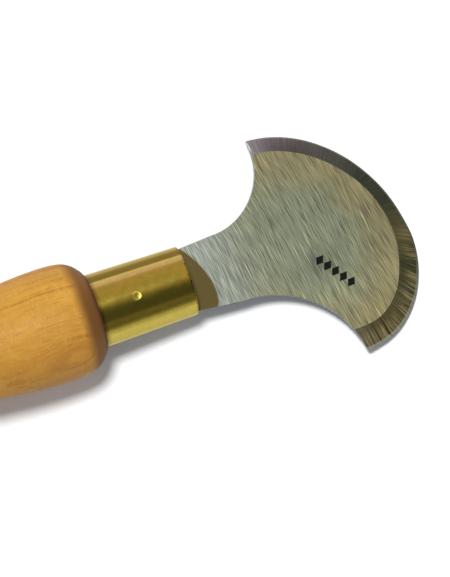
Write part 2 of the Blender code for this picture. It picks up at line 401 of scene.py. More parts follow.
class Tint:
    """Colours of wear, soil and grain, and of painted shade, shadow and reflection, which lie over the
    main tints.
    """

    RIM_SHADOW_OLIVE = (0.068, 0.047, 0.009)
    SOOT = (0.03, 0.03, 0.026)
    STAMP_BLACK = (0.002, 0.002, 0.002)

    BRONZE_GLINT = (0.62, 0.50, 0.26)
    MAUVE_REFLECTION = (0.20, 0.165, 0.19)
    BELT_GROOVE = (0.02, 0.022, 0.015)
    HONED_DULL = (0.36, 0.34, 0.26)
    HONED_BRIGHT = (0.62, 0.60, 0.50)
    HONED_SHADE = (0.070, 0.074, 0.060)
    HONED_MAUVE_REFLECTION = (0.30, 0.27, 0.29)
    FILED_DARK = (0.05, 0.056, 0.048)
    FILED_LIGHT = (0.14, 0.155, 0.145)
    RUST_BLOOM = (0.09, 0.08, 0.06)

    BRASS_WARM = (0.74, 0.50, 0.10)
    BRASS_SPOT = (0.36, 0.24, 0.07)
    REFLECTION_BAND_BROWN = (0.06, 0.003, 0.0)
    LOWER_FLANK_SHADE = (0.03, 0.02, 0.0)
    SHOULDER_SHADE = (0.12, 0.06, 0.018)
    NICK_BROWN = (0.10, 0.050, 0.012)
    BORE_BROWN = (0.22, 0.15, 0.06)
    DIMPLE_SHADE = (0.12, 0.085, 0.018)

    PALE_BEECH = (0.55, 0.285, 0.042)
    RING_BROWN = (0.32, 0.115, 0.020)
    FIBRE_BROWN = (0.35, 0.150, 0.026)
    FIGURE_SHIMMER_GOLD = (0.70, 0.40, 0.070)
    HEART_AND_SHADE_BROWN = (0.36, 0.130, 0.030)
    FLECK_BROWN = (0.26, 0.10, 0.025)
    SCORCH_BROWN = (0.190, 0.080, 0.017)
    SCORCH_DARK = (0.120, 0.046, 0.013)
    NOSE_JOINT_SHADE = (0.06, 0.028, 0.014)
    END_GRAIN = (0.50, 0.33, 0.16)

    RESIN_DARK = (0.075, 0.052, 0.032)
    RESIN_LIGHT = (0.15, 0.11, 0.07)
    PAPER_DARK = (0.90, 0.90, 0.90)
    PAPER_LIGHT = (0.93, 0.93, 0.93)


def stroke(graph, x, y, degrees, along, across, wander=None):
    """Coordinates for marks that run at an angle from the knife's axis: stretched along, fine across."""
    turn = math.radians(degrees)
    run = x * math.cos(turn) + y * math.sin(turn)
    side = y * math.cos(turn) - x * math.sin(turn)
    if wander is not None:
        side = side + wander
    return graph.vector(run * along, side * across, 0.0)


def grinding_marks(graph, point, x, y):
    """The surface grinder's marks, and the few scratches between them: two heights from 0 to 1."""
    wander = graph.noise(point, 0.03, 1.0) * 2.5
    fine = graph.noise(stroke(graph, x, y, -82.6, 0.12, 4.6, wander), 1.0, 2.0, 0.6)
    crossed = graph.noise(stroke(graph, x, y, -78.0, 0.16, 3.4, wander), 1.0, 2.0, 0.6)
    stray = graph.noise(stroke(graph, x, y, -64.0, 0.2, 3.0, wander), 1.0, 1.0, 0.5)
    broad = graph.noise(stroke(graph, x, y, -81.0, 0.06, 0.7, wander), 1.0, 4.0, 0.65)
    scratch = graph.noise(stroke(graph, x, y, -80.0, 0.07, 4.0, wander), 1.0, 1.0, 0.5).ramp(0.66, 0.75)
    marks = fine * 0.46 + crossed * 0.30 + stray * 0.14 + broad * 0.10
    return marks, scratch


def ellipse_reach(x, y):
    """0 near the middle of the crescent, about 1 along the grind line and more outside it."""
    centre, half_long, half_short, turn = (32.8, -0.5), 28.2, 22.1, math.radians(-57.8)
    dx, dy = x - centre[0], y - centre[1]
    cos, sin = math.cos(turn), math.sin(turn)
    u = (dx * cos + dy * sin) / half_long
    v = (dy * cos - dx * sin) / half_short
    return (u * u + v * v) ** 0.5


def maker_row(graph, point, x, y):
    """The black stamped row on the blade: five plain lozenges. 1 on the stamp, 0 elsewhere."""
    centre, slant = (38.6, -10.2), math.radians(-52.7)
    pitch, half_wide, half_high, half_row = 2.55, 1.16, 1.62, 6.375
    dx, dy = x - centre[0], y - centre[1]
    run = dx * math.cos(slant) + dy * math.sin(slant)
    rise = dy * math.cos(slant) - dx * math.sin(slant)
    cell = abs(((run + half_row) / pitch).fraction() - 0.5) * (pitch / half_wide)
    ragged = graph.noise(point, 2.2, 3.0) * 0.30 - 0.15
    inside = cell + abs(rise) * (1 / half_high) + ragged
    return inside.ramp(1.08, 0.92) * abs(run).below(half_row)


def stamp_smudge(graph, point, x, y):
    """Soot around the start of the stamped row, drawn out along the grinding marks."""
    dx, dy = x - 34.2, y + 6.4
    far = (dx * dx * 0.10 + dy * dy * 0.035) ** 0.5
    patch = graph.noise(stroke(graph, x, y, -82.6, 0.25, 2.4), 1.0, 4.0, 0.7)
    return far.ramp(1.15, 0.1) * patch.ramp(0.36, 0.60)


def painted_rim_shadow(x, y):
    """The ferrule rim's shadow painted on the neck, tinted olive as the brass's reflection in the steel:
    1 inside it, 0 beyond its reach.
    """
    rise = x * (1 / -KEY_LEAN[0])
    side, up = y + rise * KEY_LEAN[1], rise + PLATE / 2 / MM
    far = (side * side + up * up) ** 0.5
    return far.ramp(FERRULE_RADII[0] / MM + 0.1, FERRULE_RADII[0] / MM - 0.5)


def ground_steel(finish):
    """The blade's flats: bluish at the neck, olive towards the bevel, with cross grinding marks."""
    made, graph, shader = surface("ground_steel", {"Metallic": 0.3, "Specular IOR Level": 0.15})
    point, x, y, z = graph.place()
    marks, scratch = grinding_marks(graph, point, x, y)
    cloud = graph.noise(point, 0.11, 3.0, 0.6)
    reach = ellipse_reach(x, y) + (cloud - 0.5) * 0.35
    rim = reach.ramp(0.35, 0.98) * x.ramp(12.0, 27.0)
    body = x.ramp(4.0, 28.0)
    neck = graph.mix(body, finish.steel_tint, finish.plate_tint)
    base = graph.mix(rim, neck, finish.rim_tint)
    base = graph.scaled(base, y.ramp(-6.0, -16.0, 1.0, 1.2))
    base = graph.scaled(base, ((marks - 0.5) * 5.4 + 0.97 + scratch * 1.4).clamped(0.25, 3.0))
    # Painted shadow: the ferrule rim's shadow on the neck, with a painted olive reflection of the brass.
    base = graph.mix(painted_rim_shadow(x, y) * z.ramp(0.5, 0.8), base, Tint.RIM_SHADOW_OLIVE)
    soot = stamp_smudge(graph, point, x, y) * 0.85
    stamp = maker_row(graph, point, x, y) * z.ramp(0.5, 0.9)
    base = graph.mix(soot * z.ramp(0.5, 0.9), base, Tint.SOOT)
    base = graph.mix(stamp, base, Tint.STAMP_BLACK)
    rough = 0.36 + marks * 0.16 - scratch * 0.10
    height = marks * 0.8 + scratch * -0.5 + stamp * -2.0
    normal = graph.bump(height, 0.2, 0.015 * MM)
    feed(graph, shader, base_color=base, roughness=(rough + stamp * 0.6).clamped(), normal=normal)
    return made


# Painted reflections: the bevel's colour at each angle round the crescent stands in for what it reflects
# there.
BEVEL_REFLECTION_TINTS = (
    (-78, (0.20, 0.22, 0.16)),
    (-66, (0.115, 0.098, 0.042)),
    (-52, (0.175, 0.155, 0.072)),
    (-40, (0.115, 0.125, 0.068)),
    (-30, (0.070, 0.082, 0.042)),
    (-20, (0.090, 0.100, 0.050)),
    (-13, (0.185, 0.180, 0.090)),
    (-4, (0.105, 0.108, 0.058)),
    (3, (0.090, 0.094, 0.058)),
    (10, (0.050, 0.062, 0.044)),
    (30, (0.044, 0.053, 0.040)),
    (45, (0.070, 0.079, 0.068)),
    (60, (0.088, 0.092, 0.084)),
    (75, (0.072, 0.070, 0.064)),
    (88, (0.100, 0.092, 0.098)),
    (99, (0.17, 0.18, 0.185)),
)


def sweep_angle(graph, x, y):
    """The angle round the crescent from the knife's axis, in degrees."""
    turned = graph.make(
        "Math", {"operation": "ARCTAN2"}, {0: y - CENTRE[1] / MM, 1: x - CENTRE[0] / MM}
    )
    return turned * math.degrees(1.0)


def bevel_marks(graph, point, x, y, angle):
    """The belt's marks across the bevel: fine in angle, long outwards."""
    reach = ellipse_reach(x, y)
    lean = (reach - 1.0) * 6.0
    drift = graph.noise(point, 0.16, 2.0) * 2.0
    fine = graph.noise(((angle + lean + drift) * 1.8, reach * 2.0, 0.0), 1.0, 3.0, 0.68)
    broad = graph.noise(((angle + lean) * 0.22, reach * 1.5, 4.0), 1.0, 3.0, 0.6)
    return fine, broad


def bevel_steel():
    """The ground bevel: marks across it, with painted reflections and glints whose colours change along
    the crescent.
    """
    made, graph, shader = surface("bevel_steel", {"Metallic": 0.95})
    point, x, y, z = graph.place()
    angle = sweep_angle(graph, x, y)
    fine, broad = bevel_marks(graph, point, x, y, angle)
    base = graph.tint_along(angle + (broad - 0.5) * 7.0, BEVEL_REFLECTION_TINTS)
    outward = ellipse_reach(x, y).ramp(1.0, 1.2)
    bronze = angle.ramp(2.0, -38.0)
    mauve = angle.ramp(52.0, 84.0)
    streak = (fine * 0.8 + broad * 0.4).ramp(0.54, 0.76)
    glint = streak * (bronze * 0.85 + mauve * 0.12 + 0.03)
    base = graph.mix(glint * outward.ramp(0.0, 0.7, 0.35, 1.0), base, Tint.BRONZE_GLINT)
    # Painted mauve reflection on the outer bevel near the upper horn.
    base = graph.mix(mauve * outward * 0.45, base, Tint.MAUVE_REFLECTION)
    base = graph.mix(fine.ramp(0.50, 0.28) * 0.6, base, Tint.BELT_GROOVE)
    rough = 0.30 + fine * 0.18
    height = fine + broad * 0.6
    normal = graph.bump(height, 0.35, 0.03 * MM)
    feed(graph, shader, base_color=base, roughness=rough, normal=normal)
    return made


def honed_steel():
    """The narrow honed band at the very edge: brighter and beige, with painted shade below the middle and
    a painted mauve reflection by the upper horn.
    """
    made, graph, shader = surface("honed_steel", {"Metallic": 0.9})
    point, x, y, z = graph.place()
    angle = sweep_angle(graph, x, y)
    fine, broad = bevel_marks(graph, point, x, y, angle)
    base = graph.mix(fine.ramp(0.35, 0.7), Tint.HONED_DULL, Tint.HONED_BRIGHT)
    # Painted shade below the middle, and a painted mauve reflection by the upper horn.
    base = graph.mix(angle.ramp(-52.0, -14.0) * 0.85, base, Tint.HONED_SHADE)
    base = graph.mix(angle.ramp(66.0, 84.0) * 0.35, base, Tint.HONED_MAUVE_REFLECTION)
    normal = graph.bump(fine, 0.3, 0.01 * MM)
    feed(graph, shader, base_color=base, roughness=0.30 + broad * 0.15, normal=normal)
    return made


def cut_steel():
    """The blade's sides, cut and filed along their length."""
    made, graph, shader = surface("cut_steel", {"Metallic": 0.9})
    point, x, y, z = graph.place()
    lines = graph.noise((x * 0.3, y * 0.3, z * 9.0), 1.0, 4.0, 0.7)
    spots = graph.noise(point, 1.1, 4.0, 0.7)
    base = graph.mix(lines.ramp(0.3, 0.7), Tint.FILED_DARK, Tint.FILED_LIGHT)
    base = graph.mix(spots.ramp(0.55, 0.75) * 0.4, base, Tint.RUST_BLOOM)
    normal = graph.bump(lines, 0.5, 0.03 * MM)
    feed(graph, shader, base_color=base, roughness=0.34 + spots * 0.18, normal=normal)
    return made


def polished_brass(finish):
    """The ferrule: buffed brass with spots and a nicked rim, a painted dark band in the upper flank's
    reflection, and painted shade on the lower flank, by the handle and in the dimple.
    """
    constants = {"Metallic": 1.0, "Specular Tint": (0.93, 0.88, 0.68, 1.0)}
    made, graph, shader = surface("polished_brass", constants)
    point, x, y, z = graph.place()
    around = graph.make("Math", {"operation": "ARCTAN2"}, {0: y, 1: z}) * (FERRULE_RADII[0] / MM)
    far = (y * y + z * z) ** 0.5
    buff = graph.noise((x * 7.0, around * 0.25, 0.0), 1.0, 4.0, 0.7)
    draw = graph.noise((x * 0.12, around * 1.6, 3.0), 1.0, 3.0, 0.6)
    mottle = graph.noise(point, 0.55, 4.0, 0.65)
    bore = far.ramp(9.15, 8.95)
    base = graph.mix(mottle.ramp(0.35, 0.75) * 0.35, finish.brass_tint, Tint.BRASS_WARM)
    tarnish = graph.noise(point, 1.4, 5.0, 0.7).ramp(0.62, 0.80)
    base = graph.mix(tarnish * 0.35, base, Tint.BRASS_SPOT)
    turned = around * (MM / FERRULE_RADII[0])
    # Painted reflection: a dark brown band on the upper flank, where the polished brass would reflect the
    # bright floor.
    painted_dark_band = turned.ramp(0.755, 0.83) * turned.ramp(1.18, 1.00, 0.5, 1.0)
    base = graph.mix(painted_dark_band * 0.72, base, Tint.REFLECTION_BAND_BROWN)
    # Painted shade on the lower flank, darker towards the bottom.
    base = graph.mix(turned.ramp(-0.75, -1.30) * 0.25, base, Tint.LOWER_FLANK_SHADE)
    # Painted shade on the ferrule's back end, where the handle's nose meets it.
    base = graph.mix(x.ramp(-24.4, -25.6) * 0.6, base, Tint.SHOULDER_SHADE)
    nicks = graph.noise(point, 1.9, 3.0, 0.7)
    rim = x.ramp(-0.5, -0.25)
    base = graph.mix(rim * nicks.ramp(0.42, 0.60), base, Tint.NICK_BROWN)
    base = graph.mix(bore * 0.7, base, Tint.BORE_BROWN)
    # Painted shade in the punch mark, which also makes it rougher.
    ahead = x - DIMPLE_PLACE / MM + 0.2
    dimple = ((ahead * ahead + y * y) ** 0.5).ramp(1.5, 0.8) * z.ramp(5.0, 8.0)
    base = graph.mix(dimple * 0.8, base, Tint.DIMPLE_SHADE)
    rough = 0.115 + mottle * 0.05 + draw * 0.035 + tarnish * 0.10 + bore * 0.3 + dimple * 0.22
    height = buff * 0.4 + mottle * 1.2 + draw * 0.5
    normal = graph.bump(height, 0.10, 0.02 * MM)
    feed(graph, shader, base_color=base, roughness=rough, normal=normal)
    return made


def lacquered_beech(finish):
    """The handle: honey-coloured beech with rings, ray flecks, a scorched nose and a satin lacquer."""
    constants = {"Coat Roughness": 0.35, "Coat IOR": 1.5, "Specular IOR Level": 0.12, "Metallic": 0.0}
    made, graph, shader = surface("lacquered_beech", constants)
    point, x, y, z = graph.place()
    tilt = y * 0.80 - z * 0.60
    depth = y * 0.60 + z * 0.80
    drift = graph.noise((x * 0.018, y * 0.05, z * 0.05), 1.0, 2.0) * 9.0
    rings = graph.noise((x * 0.012, (tilt + drift) * 0.75, depth * 0.05), 1.0, 4.0, 0.65)
    fibre = graph.noise((x * 0.10, y * 1.7, z * 1.7), 1.0, 4.0, 0.7)
    fleck = graph.noise((x * 0.34, tilt * 2.1, depth * 0.9), 1.0, 1.0, 0.4).ramp(0.665, 0.73)
    cloud = graph.noise((x * 0.07, y * 0.13, z * 0.13), 1.0, 3.0, 0.55)
    # The beech's figure: partly grain, partly its shimmer painted as gold patches.
    figure_and_shimmer = graph.noise((x * 0.85, y * 0.36, z * 0.36), 1.0, 4.0, 0.65, 1.0)
    base = graph.mix(cloud.ramp(0.32, 0.70), finish.beech_tint, Tint.PALE_BEECH)
    fading = graph.noise((x * 0.05, y * 0.2, z * 0.2), 1.0, 2.0).ramp(0.35, 0.60)
    base = graph.mix(rings.ramp(0.53, 0.63) * fading * 0.62, base, Tint.RING_BROWN)
    base = graph.mix(fibre.ramp(0.46, 0.68) * 0.34, base, Tint.FIBRE_BROWN)
    base = graph.mix(figure_and_shimmer.ramp(0.46, 0.68) * 0.26, base, Tint.FIGURE_SHIMMER_GOLD)
    # Heartwood streaks towards the lower side and the top; the even part of this darkening is painted
    # shade, mostly on the lower side.
    heart_and_shade = y.ramp(3.0, -8.0) + y.ramp(9.0, 14.0) * 0.7
    streaks = graph.noise((x * 0.03, (tilt + drift) * 1.3, depth * 0.1), 1.0, 3.0, 0.6)
    base = graph.mix(heart_and_shade * (streaks.ramp(0.45, 0.66) * 0.38 + 0.14), base, Tint.HEART_AND_SHADE_BROWN)
    base = graph.mix(fleck * 0.38, base, Tint.FLECK_BROWN)
    scorch = x.ramp(-32.6, -28.6)
    rub = graph.noise((x * 2.6, y * 0.1, z * 0.1), 1.0, 4.0, 0.7)
    base = graph.mix(scorch * (rub * 0.3 + 0.88 - y * 0.006), base, Tint.SCORCH_BROWN)
    crown = y.ramp(-10.5, -5.0) * y.ramp(9.5, 2.0)
    base = graph.mix(scorch * crown * 0.5, base, Tint.SCORCH_DARK)
    # Painted shade on the nose where it meets the ferrule.
    base = graph.mix(x.ramp(-26.9, -26.0) * 0.7, base, Tint.NOSE_JOINT_SHADE)
    end_grain = x.ramp(-25.7, -25.3)
    base = graph.mix(end_grain * 0.5, base, Tint.END_GRAIN)
    coat = x.ramp(-25.3, -25.7) * finish.lacquer_weight
    rough = 0.50 + fibre * 0.14 + scorch * 0.08
    height = fibre * 0.5 + rings * 0.3 + fleck * -0.5 + rub * scorch * 0.8
    normal = graph.bump(height, 0.22, 0.04 * MM)
    feed(graph, shader, base_color=base, roughness=rough, coat_weight=coat, normal=normal)
    return made


def cured_resin():
    """The dark bedding resin round the tang, with small bubbles."""
    made, graph, shader = surface("cured_resin", {"Metallic": 0.0})
    point = graph.place()[0]
    cells = graph.make("TexVoronoi", {}, {"Vector": point, "Scale": 1.3})
    cloud = graph.noise(point, 0.4, 3.0)
    base = graph.mix(cloud, Tint.RESIN_DARK, Tint.RESIN_LIGHT)
    normal = graph.bump(cells.ramp(0.05, 0.3), 0.4, 0.05 * MM)
    feed(graph, shader, base_color=base, roughness=0.40 + cloud * 0.25, normal=normal)
    return made


# Outlines and meshes ------------------------


def arc(centre, radius, start, end, count):
    """Points along a circular arc, from angle start to angle end in radians."""
    angles = np.linspace(start, end, count)
    return [(centre[0] + radius * math.cos(a), centre[1] + radius * math.sin(a)) for a in angles]


def smooth_stations(stations, steps):
    """A smooth line through the stations, with steps segments between neighbours (Catmull-Rom)."""
    points = [Vector(s) for s in stations]
    points = [2 * points[0] - points[1]] + points + [2 * points[-1] - points[-2]]
    line = []
    for a, b, c, d in zip(points, points[1:], points[2:], points[3:]):
        for i in range(steps):
            t = i / steps
            square = (2 * a - 5 * b + 4 * c - d) * t**2
            cube = (3 * b - a - 3 * c + d) * t**3
            line.append(0.5 * (2 * b + (c - a) * t + square + cube))
    return [tuple(p) for p in line] + [tuple(stations[-1])]


def crescent_line(radii):
    """A smooth line round the crescent's middle: its angles in radians and its radii in metres."""
    angles = [math.radians(FIRST_ANGLE + ANGLE_STEP * i) for i in range(len(radii))]
    stations = [(a, r * MM) for a, r in zip(angles, radii)]
    return np.array(smooth_stations(stations, 4 * ANGLE_STEP)).T


EDGE_LINE = crescent_line(EDGE_RADII)
GRIND_LINE = crescent_line(GRIND_RADII)


def on_line(line, angle):
    """The point of a line round the crescent's middle at an angle."""
    radius = np.interp(angle, *line)
    return (CENTRE[0] + radius * math.cos(angle), CENTRE[1] + radius * math.sin(angle))


def on_edge(angle):
    return on_line(EDGE_LINE, angle)


def on_grind(angle):
    return on_line(GRIND_LINE, angle)


def meets_bay(curve, bay, inside, outside):
    """The angle at which a curve runs into a bay's circle."""
    for _ in range(50):
        middle = (inside + outside) / 2
        x, y = curve(middle)
        clear = math.hypot(x - bay[0], y - bay[1]) > bay[2]
        inside, outside = (middle, outside) if clear else (inside, middle)
    return inside


def softened(before, corner, after, count):
    """A round corner: a quadratic curve from before to after that is drawn towards the corner."""
    points = []
    for t in np.linspace(0, 1, count):
        a, b, c = (1 - t) ** 2, 2 * t * (1 - t), t**2
        points.append(tuple(a * p + b * q + c * r for p, q, r in zip(before, corner, after)))
    return points


def resample(points, count):
    """The same line with count points at even spacing."""
    line = np.array(points)
    steps = np.concatenate(([0.0], np.cumsum(np.hypot(*np.diff(line, axis=0).T))))
    wanted = np.linspace(0, steps[-1], count)
    return np.column_stack([np.interp(wanted, steps, line[:, i]) for i in range(2)])


def bay_angle(bay, point):
    """The direction of a point from the middle of a bay's circle."""
    return math.atan2(point[1] - bay[1], point[0] - bay[0])


class Crescent:
    """The plan lines of the crescent: the edge, the grind line and the two bays."""

    EDGE_COUNT = 420
    ROWS = 9

    def __init__(self, hone_width):
        first, last = EDGE_LINE[0][0], EDGE_LINE[0][-1]
        lower = meets_bay(on_edge, LOWER_BAY, 0.0, first)
        upper = meets_bay(on_edge, UPPER_BAY, 0.0, last)
        reach = TIP_ROUND / (max(EDGE_RADII) * MM)
        low_corner, high_corner = on_edge(lower), on_edge(upper)
        low_back = self.beside(LOWER_BAY, low_corner, math.pi / 2)
        high_back = self.beside(UPPER_BAY, high_corner, -math.pi / 2)
        run = [on_edge(a) for a in np.linspace(lower + reach, upper - reach, 600)]
        edge = softened(low_back, low_corner, run[0], 12)[:-1] + run
        edge += softened(run[-1], high_corner, high_back, 12)[1:]
        self.edge = resample(edge, self.EDGE_COUNT)
        low_end = meets_bay(on_grind, LOWER_BAY, 0.0, first)
        high_end = meets_bay(on_grind, UPPER_BAY, 0.0, last)
        grind = [on_grind(a) for a in np.linspace(low_end, high_end, 900)]
        self.grind = self.across_from(resample(grind, 900))
        self.hone_width = hone_width

    @staticmethod
    def beside(bay, corner, foot):
        """The point on a bay a little back from a horn's corner."""
        end = bay_angle(bay, corner)
        end -= math.copysign(TIP_ROUND / bay[2], end - foot)
        return (bay[0] + bay[2] * math.cos(end), bay[1] + bay[2] * math.sin(end))

    def across_from(self, line):
        """A point of the grind line for each point of the edge, spread so that both lines keep pace."""
        count = self.EDGE_COUNT
        share = np.linspace(0, 1, count)
        index = share * (len(line) - 1)
        return np.column_stack([np.interp(index, np.arange(len(line)), line[:, i]) for i in range(2)])

    def strip(self):
        """Rows of points from the grind line down to the edge, as (x, y, z)."""
        top, low = PLATE / 2, EDGE_LAND - PLATE / 2
        rows = []
        width = np.hypot(*(self.edge - self.grind).T)
        round_middle = np.degrees(np.arctan2(*(self.edge - np.array(CENTRE)).T[::-1]))
        # The band narrows from the lower horn to the upper one.
        hone = self.hone_width / width * np.interp(round_middle, (-60, -20, 20), (1.3, 1.1, 0.6))
        hone_drop = 0.13 * PLATE
        for j in range(self.ROWS):
            share = np.full(len(width), j / (self.ROWS - 1)) * (1 - hone)
            height = top + (low + hone_drop - top) * j / (self.ROWS - 1)
            rows.append(self.row(share, height))
        rows.append(self.row(1 - hone / 2, low + hone_drop / 2))
        rows.append(self.row(np.ones(len(width)), low))
        return rows

    def row(self, share, height):
        """One line between the grind line and the edge. Its ends follow the bays' arcs."""
        line = self.grind + (self.edge - self.grind) * share[:, None]
        for bay, end in ((LOWER_BAY, 0), (UPPER_BAY, -1)):
            centre = np.array(bay[:2])
            off = line[end] - centre
            shift = off / np.hypot(*off) * bay[2] - off
            away = np.hypot(*(line - line[end]).T)
            fade = np.clip(1 - away / (2.5 * MM), 0, 1) ** 2
            line = line + shift * fade[:, None]
        return np.column_stack([line, np.full(len(line), height)])


def side_lines(crescent, strip):
    """The top points of the blade's side walls, from the lower horn round the tang to the upper horn."""
    top = PLATE / 2
    low_foot, high_foot = (math.pi / 2, -math.pi / 2)
    low_end = bay_angle(LOWER_BAY, strip[0][0])
    high_end = bay_angle(UPPER_BAY, strip[0][-1])
    lower_bay = arc(LOWER_BAY[:2], LOWER_BAY[2], low_end, low_foot, 90)[1:]
    upper_bay = arc(UPPER_BAY[:2], UPPER_BAY[2], high_foot, high_end, 90)[:-1]
    near, far = TANG_HALVES
    neck = [(0.0, -NECK_HALF), (-0.3 * MM, -NECK_INSIDE), (SHOULDER, -NECK_INSIDE)]
    tang = [(SHOULDER, -near - MM), (SHOULDER - MM, -near), (TANG_END, -far)]
    half = neck + tang
    flat = lower_bay + half + [(x, -y) for x, y in reversed(half)] + upper_bay
    return [(x, y, top) for x, y in flat]


def to_mesh(built, name):
    """The finished mesh of a shape that was built face by face."""
    mesh = bpy.data.meshes.new(name)
    built.to_mesh(mesh)
    built.free()
    return mesh


def blade_mesh(shape):
    """The blade as one closed mesh: flats, bevel, honed band and side walls, each with its own finish."""
    crescent = Crescent(shape.hone_width)
    strip = crescent.strip()
    built = bmesh.new()
    weight = built.edges.layers.float.new("bevel_weight_edge")
    rows = [[built.verts.new(p) for p in row] for row in strip]
    for j, (one, two) in enumerate(zip(rows, rows[1:])):
        for i in range(len(one) - 1):
            face = built.faces.new((one[i], two[i], two[i + 1], one[i + 1]))
            face.material_index = 2 if j >= crescent.ROWS - 1 else 1
            face.smooth = True
    sides = [built.verts.new(p) for p in side_lines(crescent, strip)]
    built.faces.new(rows[0] + sides[::-1])

    bottom = -PLATE / 2
    floor_edge = [built.verts.new((v.co.x, v.co.y, bottom)) for v in rows[-1]]
    wall_top = [row[0] for row in rows[::-1]] + sides + [row[-1] for row in rows]
    wall_low = [floor_edge[0]]
    wall_low += [built.verts.new((v.co.x, v.co.y, bottom)) for v in wall_top[1:-1]]
    wall_low.append(floor_edge[-1])
    for i in range(len(wall_top) - 1):
        face = built.faces.new((wall_top[i], wall_top[i + 1], wall_low[i + 1], wall_low[i]))
        face.material_index = 3
        face.smooth = True
    for i in range(len(floor_edge) - 1):
        face = built.faces.new((rows[-1][i], floor_edge[i], floor_edge[i + 1], rows[-1][i + 1]))
        face.material_index = 2
    built.faces.new(floor_edge + wall_low[1:-1][::-1])
    bmesh.ops.recalc_face_normals(built, faces=built.faces)
    horn = len(rows) - 1
    for line in (wall_top[horn:-horn], wall_low[horn:-horn]):
        for a, b in zip(line, line[1:]):
            edge = built.edges.get((a, b))
            if edge:
                edge[weight] = 1.0
    thin_behind_flats(built)
    return to_mesh(built, "blade_finished")


def thin_behind_flats(built):
    """Thins the plate behind the flats, with a short slope under the ferrule's mouth."""
    for place in (FLAT_START, THINNED_START):
        everything = [*built.verts, *built.edges, *built.faces]
        bmesh.ops.bisect_plane(built, geom=everything, plane_co=(place, 0, 0), plane_no=(1, 0, 0))
    for v in built.verts:
        if v.co.x < FLAT_START:
            half = np.interp(v.co.x, (THINNED_START, FLAT_START), (THINNED / 2, PLATE / 2))
            v.co.z = math.copysign(half, v.co.z)


def new_piece(name, mesh, slot, *nodes):
    """A finished piece in the knife's place, which stands for CAD nodes. Its slot argument is not used.
    """
    piece = bpy.data.objects.new(name, mesh)
    bpy.context.scene.collection.objects.link(piece)
    piece.matrix_world = KNIFE
    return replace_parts(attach(piece, BODY), *nodes)


def apply_modifiers(piece):
    """Makes what the modifiers show the piece's own mesh."""
    graph = bpy.context.evaluated_depsgraph_get()
    finished = bpy.data.meshes.new_from_object(piece.evaluated_get(graph))
    if not finished.polygons:
        raise RuntimeError(f"{piece.name} lost all its faces")
    piece.modifiers.clear()
    piece.data = finished


def lathe(name, profile, angles, closed, dent=None):
    """A turned mesh about the knife's axis, from (place along the axis, radius) pairs.

    Angle 0 is towards +z. A radius of 0 makes one vertex, and dent shifts the outer radius at a place.
    """
    built = bmesh.new()
    rings = []
    for row, (x, r) in enumerate(profile):
        if r == 0.0:
            rings.append([built.verts.new((x, 0.0, 0.0))])
            continue
        ring = []
        for a in angles:
            dx, dr = dent(row, x, r, a) if dent else (0.0, 0.0)
            reach = r + dr
            ring.append(built.verts.new((x + dx, reach * math.sin(a), reach * math.cos(a))))
        rings.append(ring)
    pairs = list(zip(rings, rings[1:]))
    if closed:
        pairs.append((rings[-1], rings[0]))
    for one, two in pairs:
        span = max(len(one), len(two))
        for i in range(span):
            j = (i + 1) % span
            corners = [one[i % len(one)], one[j % len(one)], two[j % len(two)], two[i % len(two)]]
            built.faces.new(list(dict.fromkeys(corners))).smooth = True
    bmesh.ops.recalc_face_normals(built, faces=built.faces)
    return to_mesh(built, name)


def box_mesh(name, low, high):
    """A box between two corners, as a tool to cut with."""
    built = bmesh.new()
    bmesh.ops.create_cube(built, size=1.0)
    bmesh.ops.scale(built, vec=[b - a for a, b in zip(low, high)], verts=built.verts)
    bmesh.ops.translate(built, vec=[(a + b) / 2 for a, b in zip(low, high)], verts=built.verts)
    return to_mesh(built, name)


def cut_away(piece, mesh, place=Matrix.Identity(4)):
    """Cuts a closed mesh, in the knife's frame, out of a piece."""
    tool = bpy.data.objects.new("tool", mesh)
    bpy.context.scene.collection.objects.link(tool)
    tool.matrix_world = KNIFE @ place
    faces_before = len(piece.data.polygons)
    boolean = piece.modifiers.new("Cut", "BOOLEAN")
    boolean.operation = "DIFFERENCE"
    boolean.solver = "EXACT"
    boolean.object = tool
    bpy.context.view_layer.update()
    apply_modifiers(piece)
    bpy.data.objects.remove(tool)
    if len(piece.data.polygons) == faces_before:
        raise RuntimeError(f"{mesh.name} cut nothing out of {piece.name}")


# Operators ------------------------


class KNIFE_OT_blade(bpy.types.Operator):
    """Make the ground steel blade with its bevel, honed band, filed corners and stamped row"""

    bl_idname = "knife.blade"
    bl_label = "Blade"

    def execute(self, context):
        shape, finish = context.scene.knife_shape, context.scene.knife_finish
        blade = new_piece("crescent_blade", blade_mesh(shape), "blade_steel", "blade")
        for made in (ground_steel(finish), bevel_steel(), honed_steel(), cut_steel()):
            blade.data.materials.append(made)
        bevel = blade.modifiers.new("Filed corners", "BEVEL")
        bevel.limit_method = "WEIGHT"
        bevel.width = shape.edge_break
        bevel.segments = 2
        bevel.material = 3
        apply_modifiers(blade)
        blade.data.set_sharp_from_angle(angle=math.radians(6.0))
        bpy.data.collections.new(STEEL).objects.link(blade)
        return {"FINISHED"}


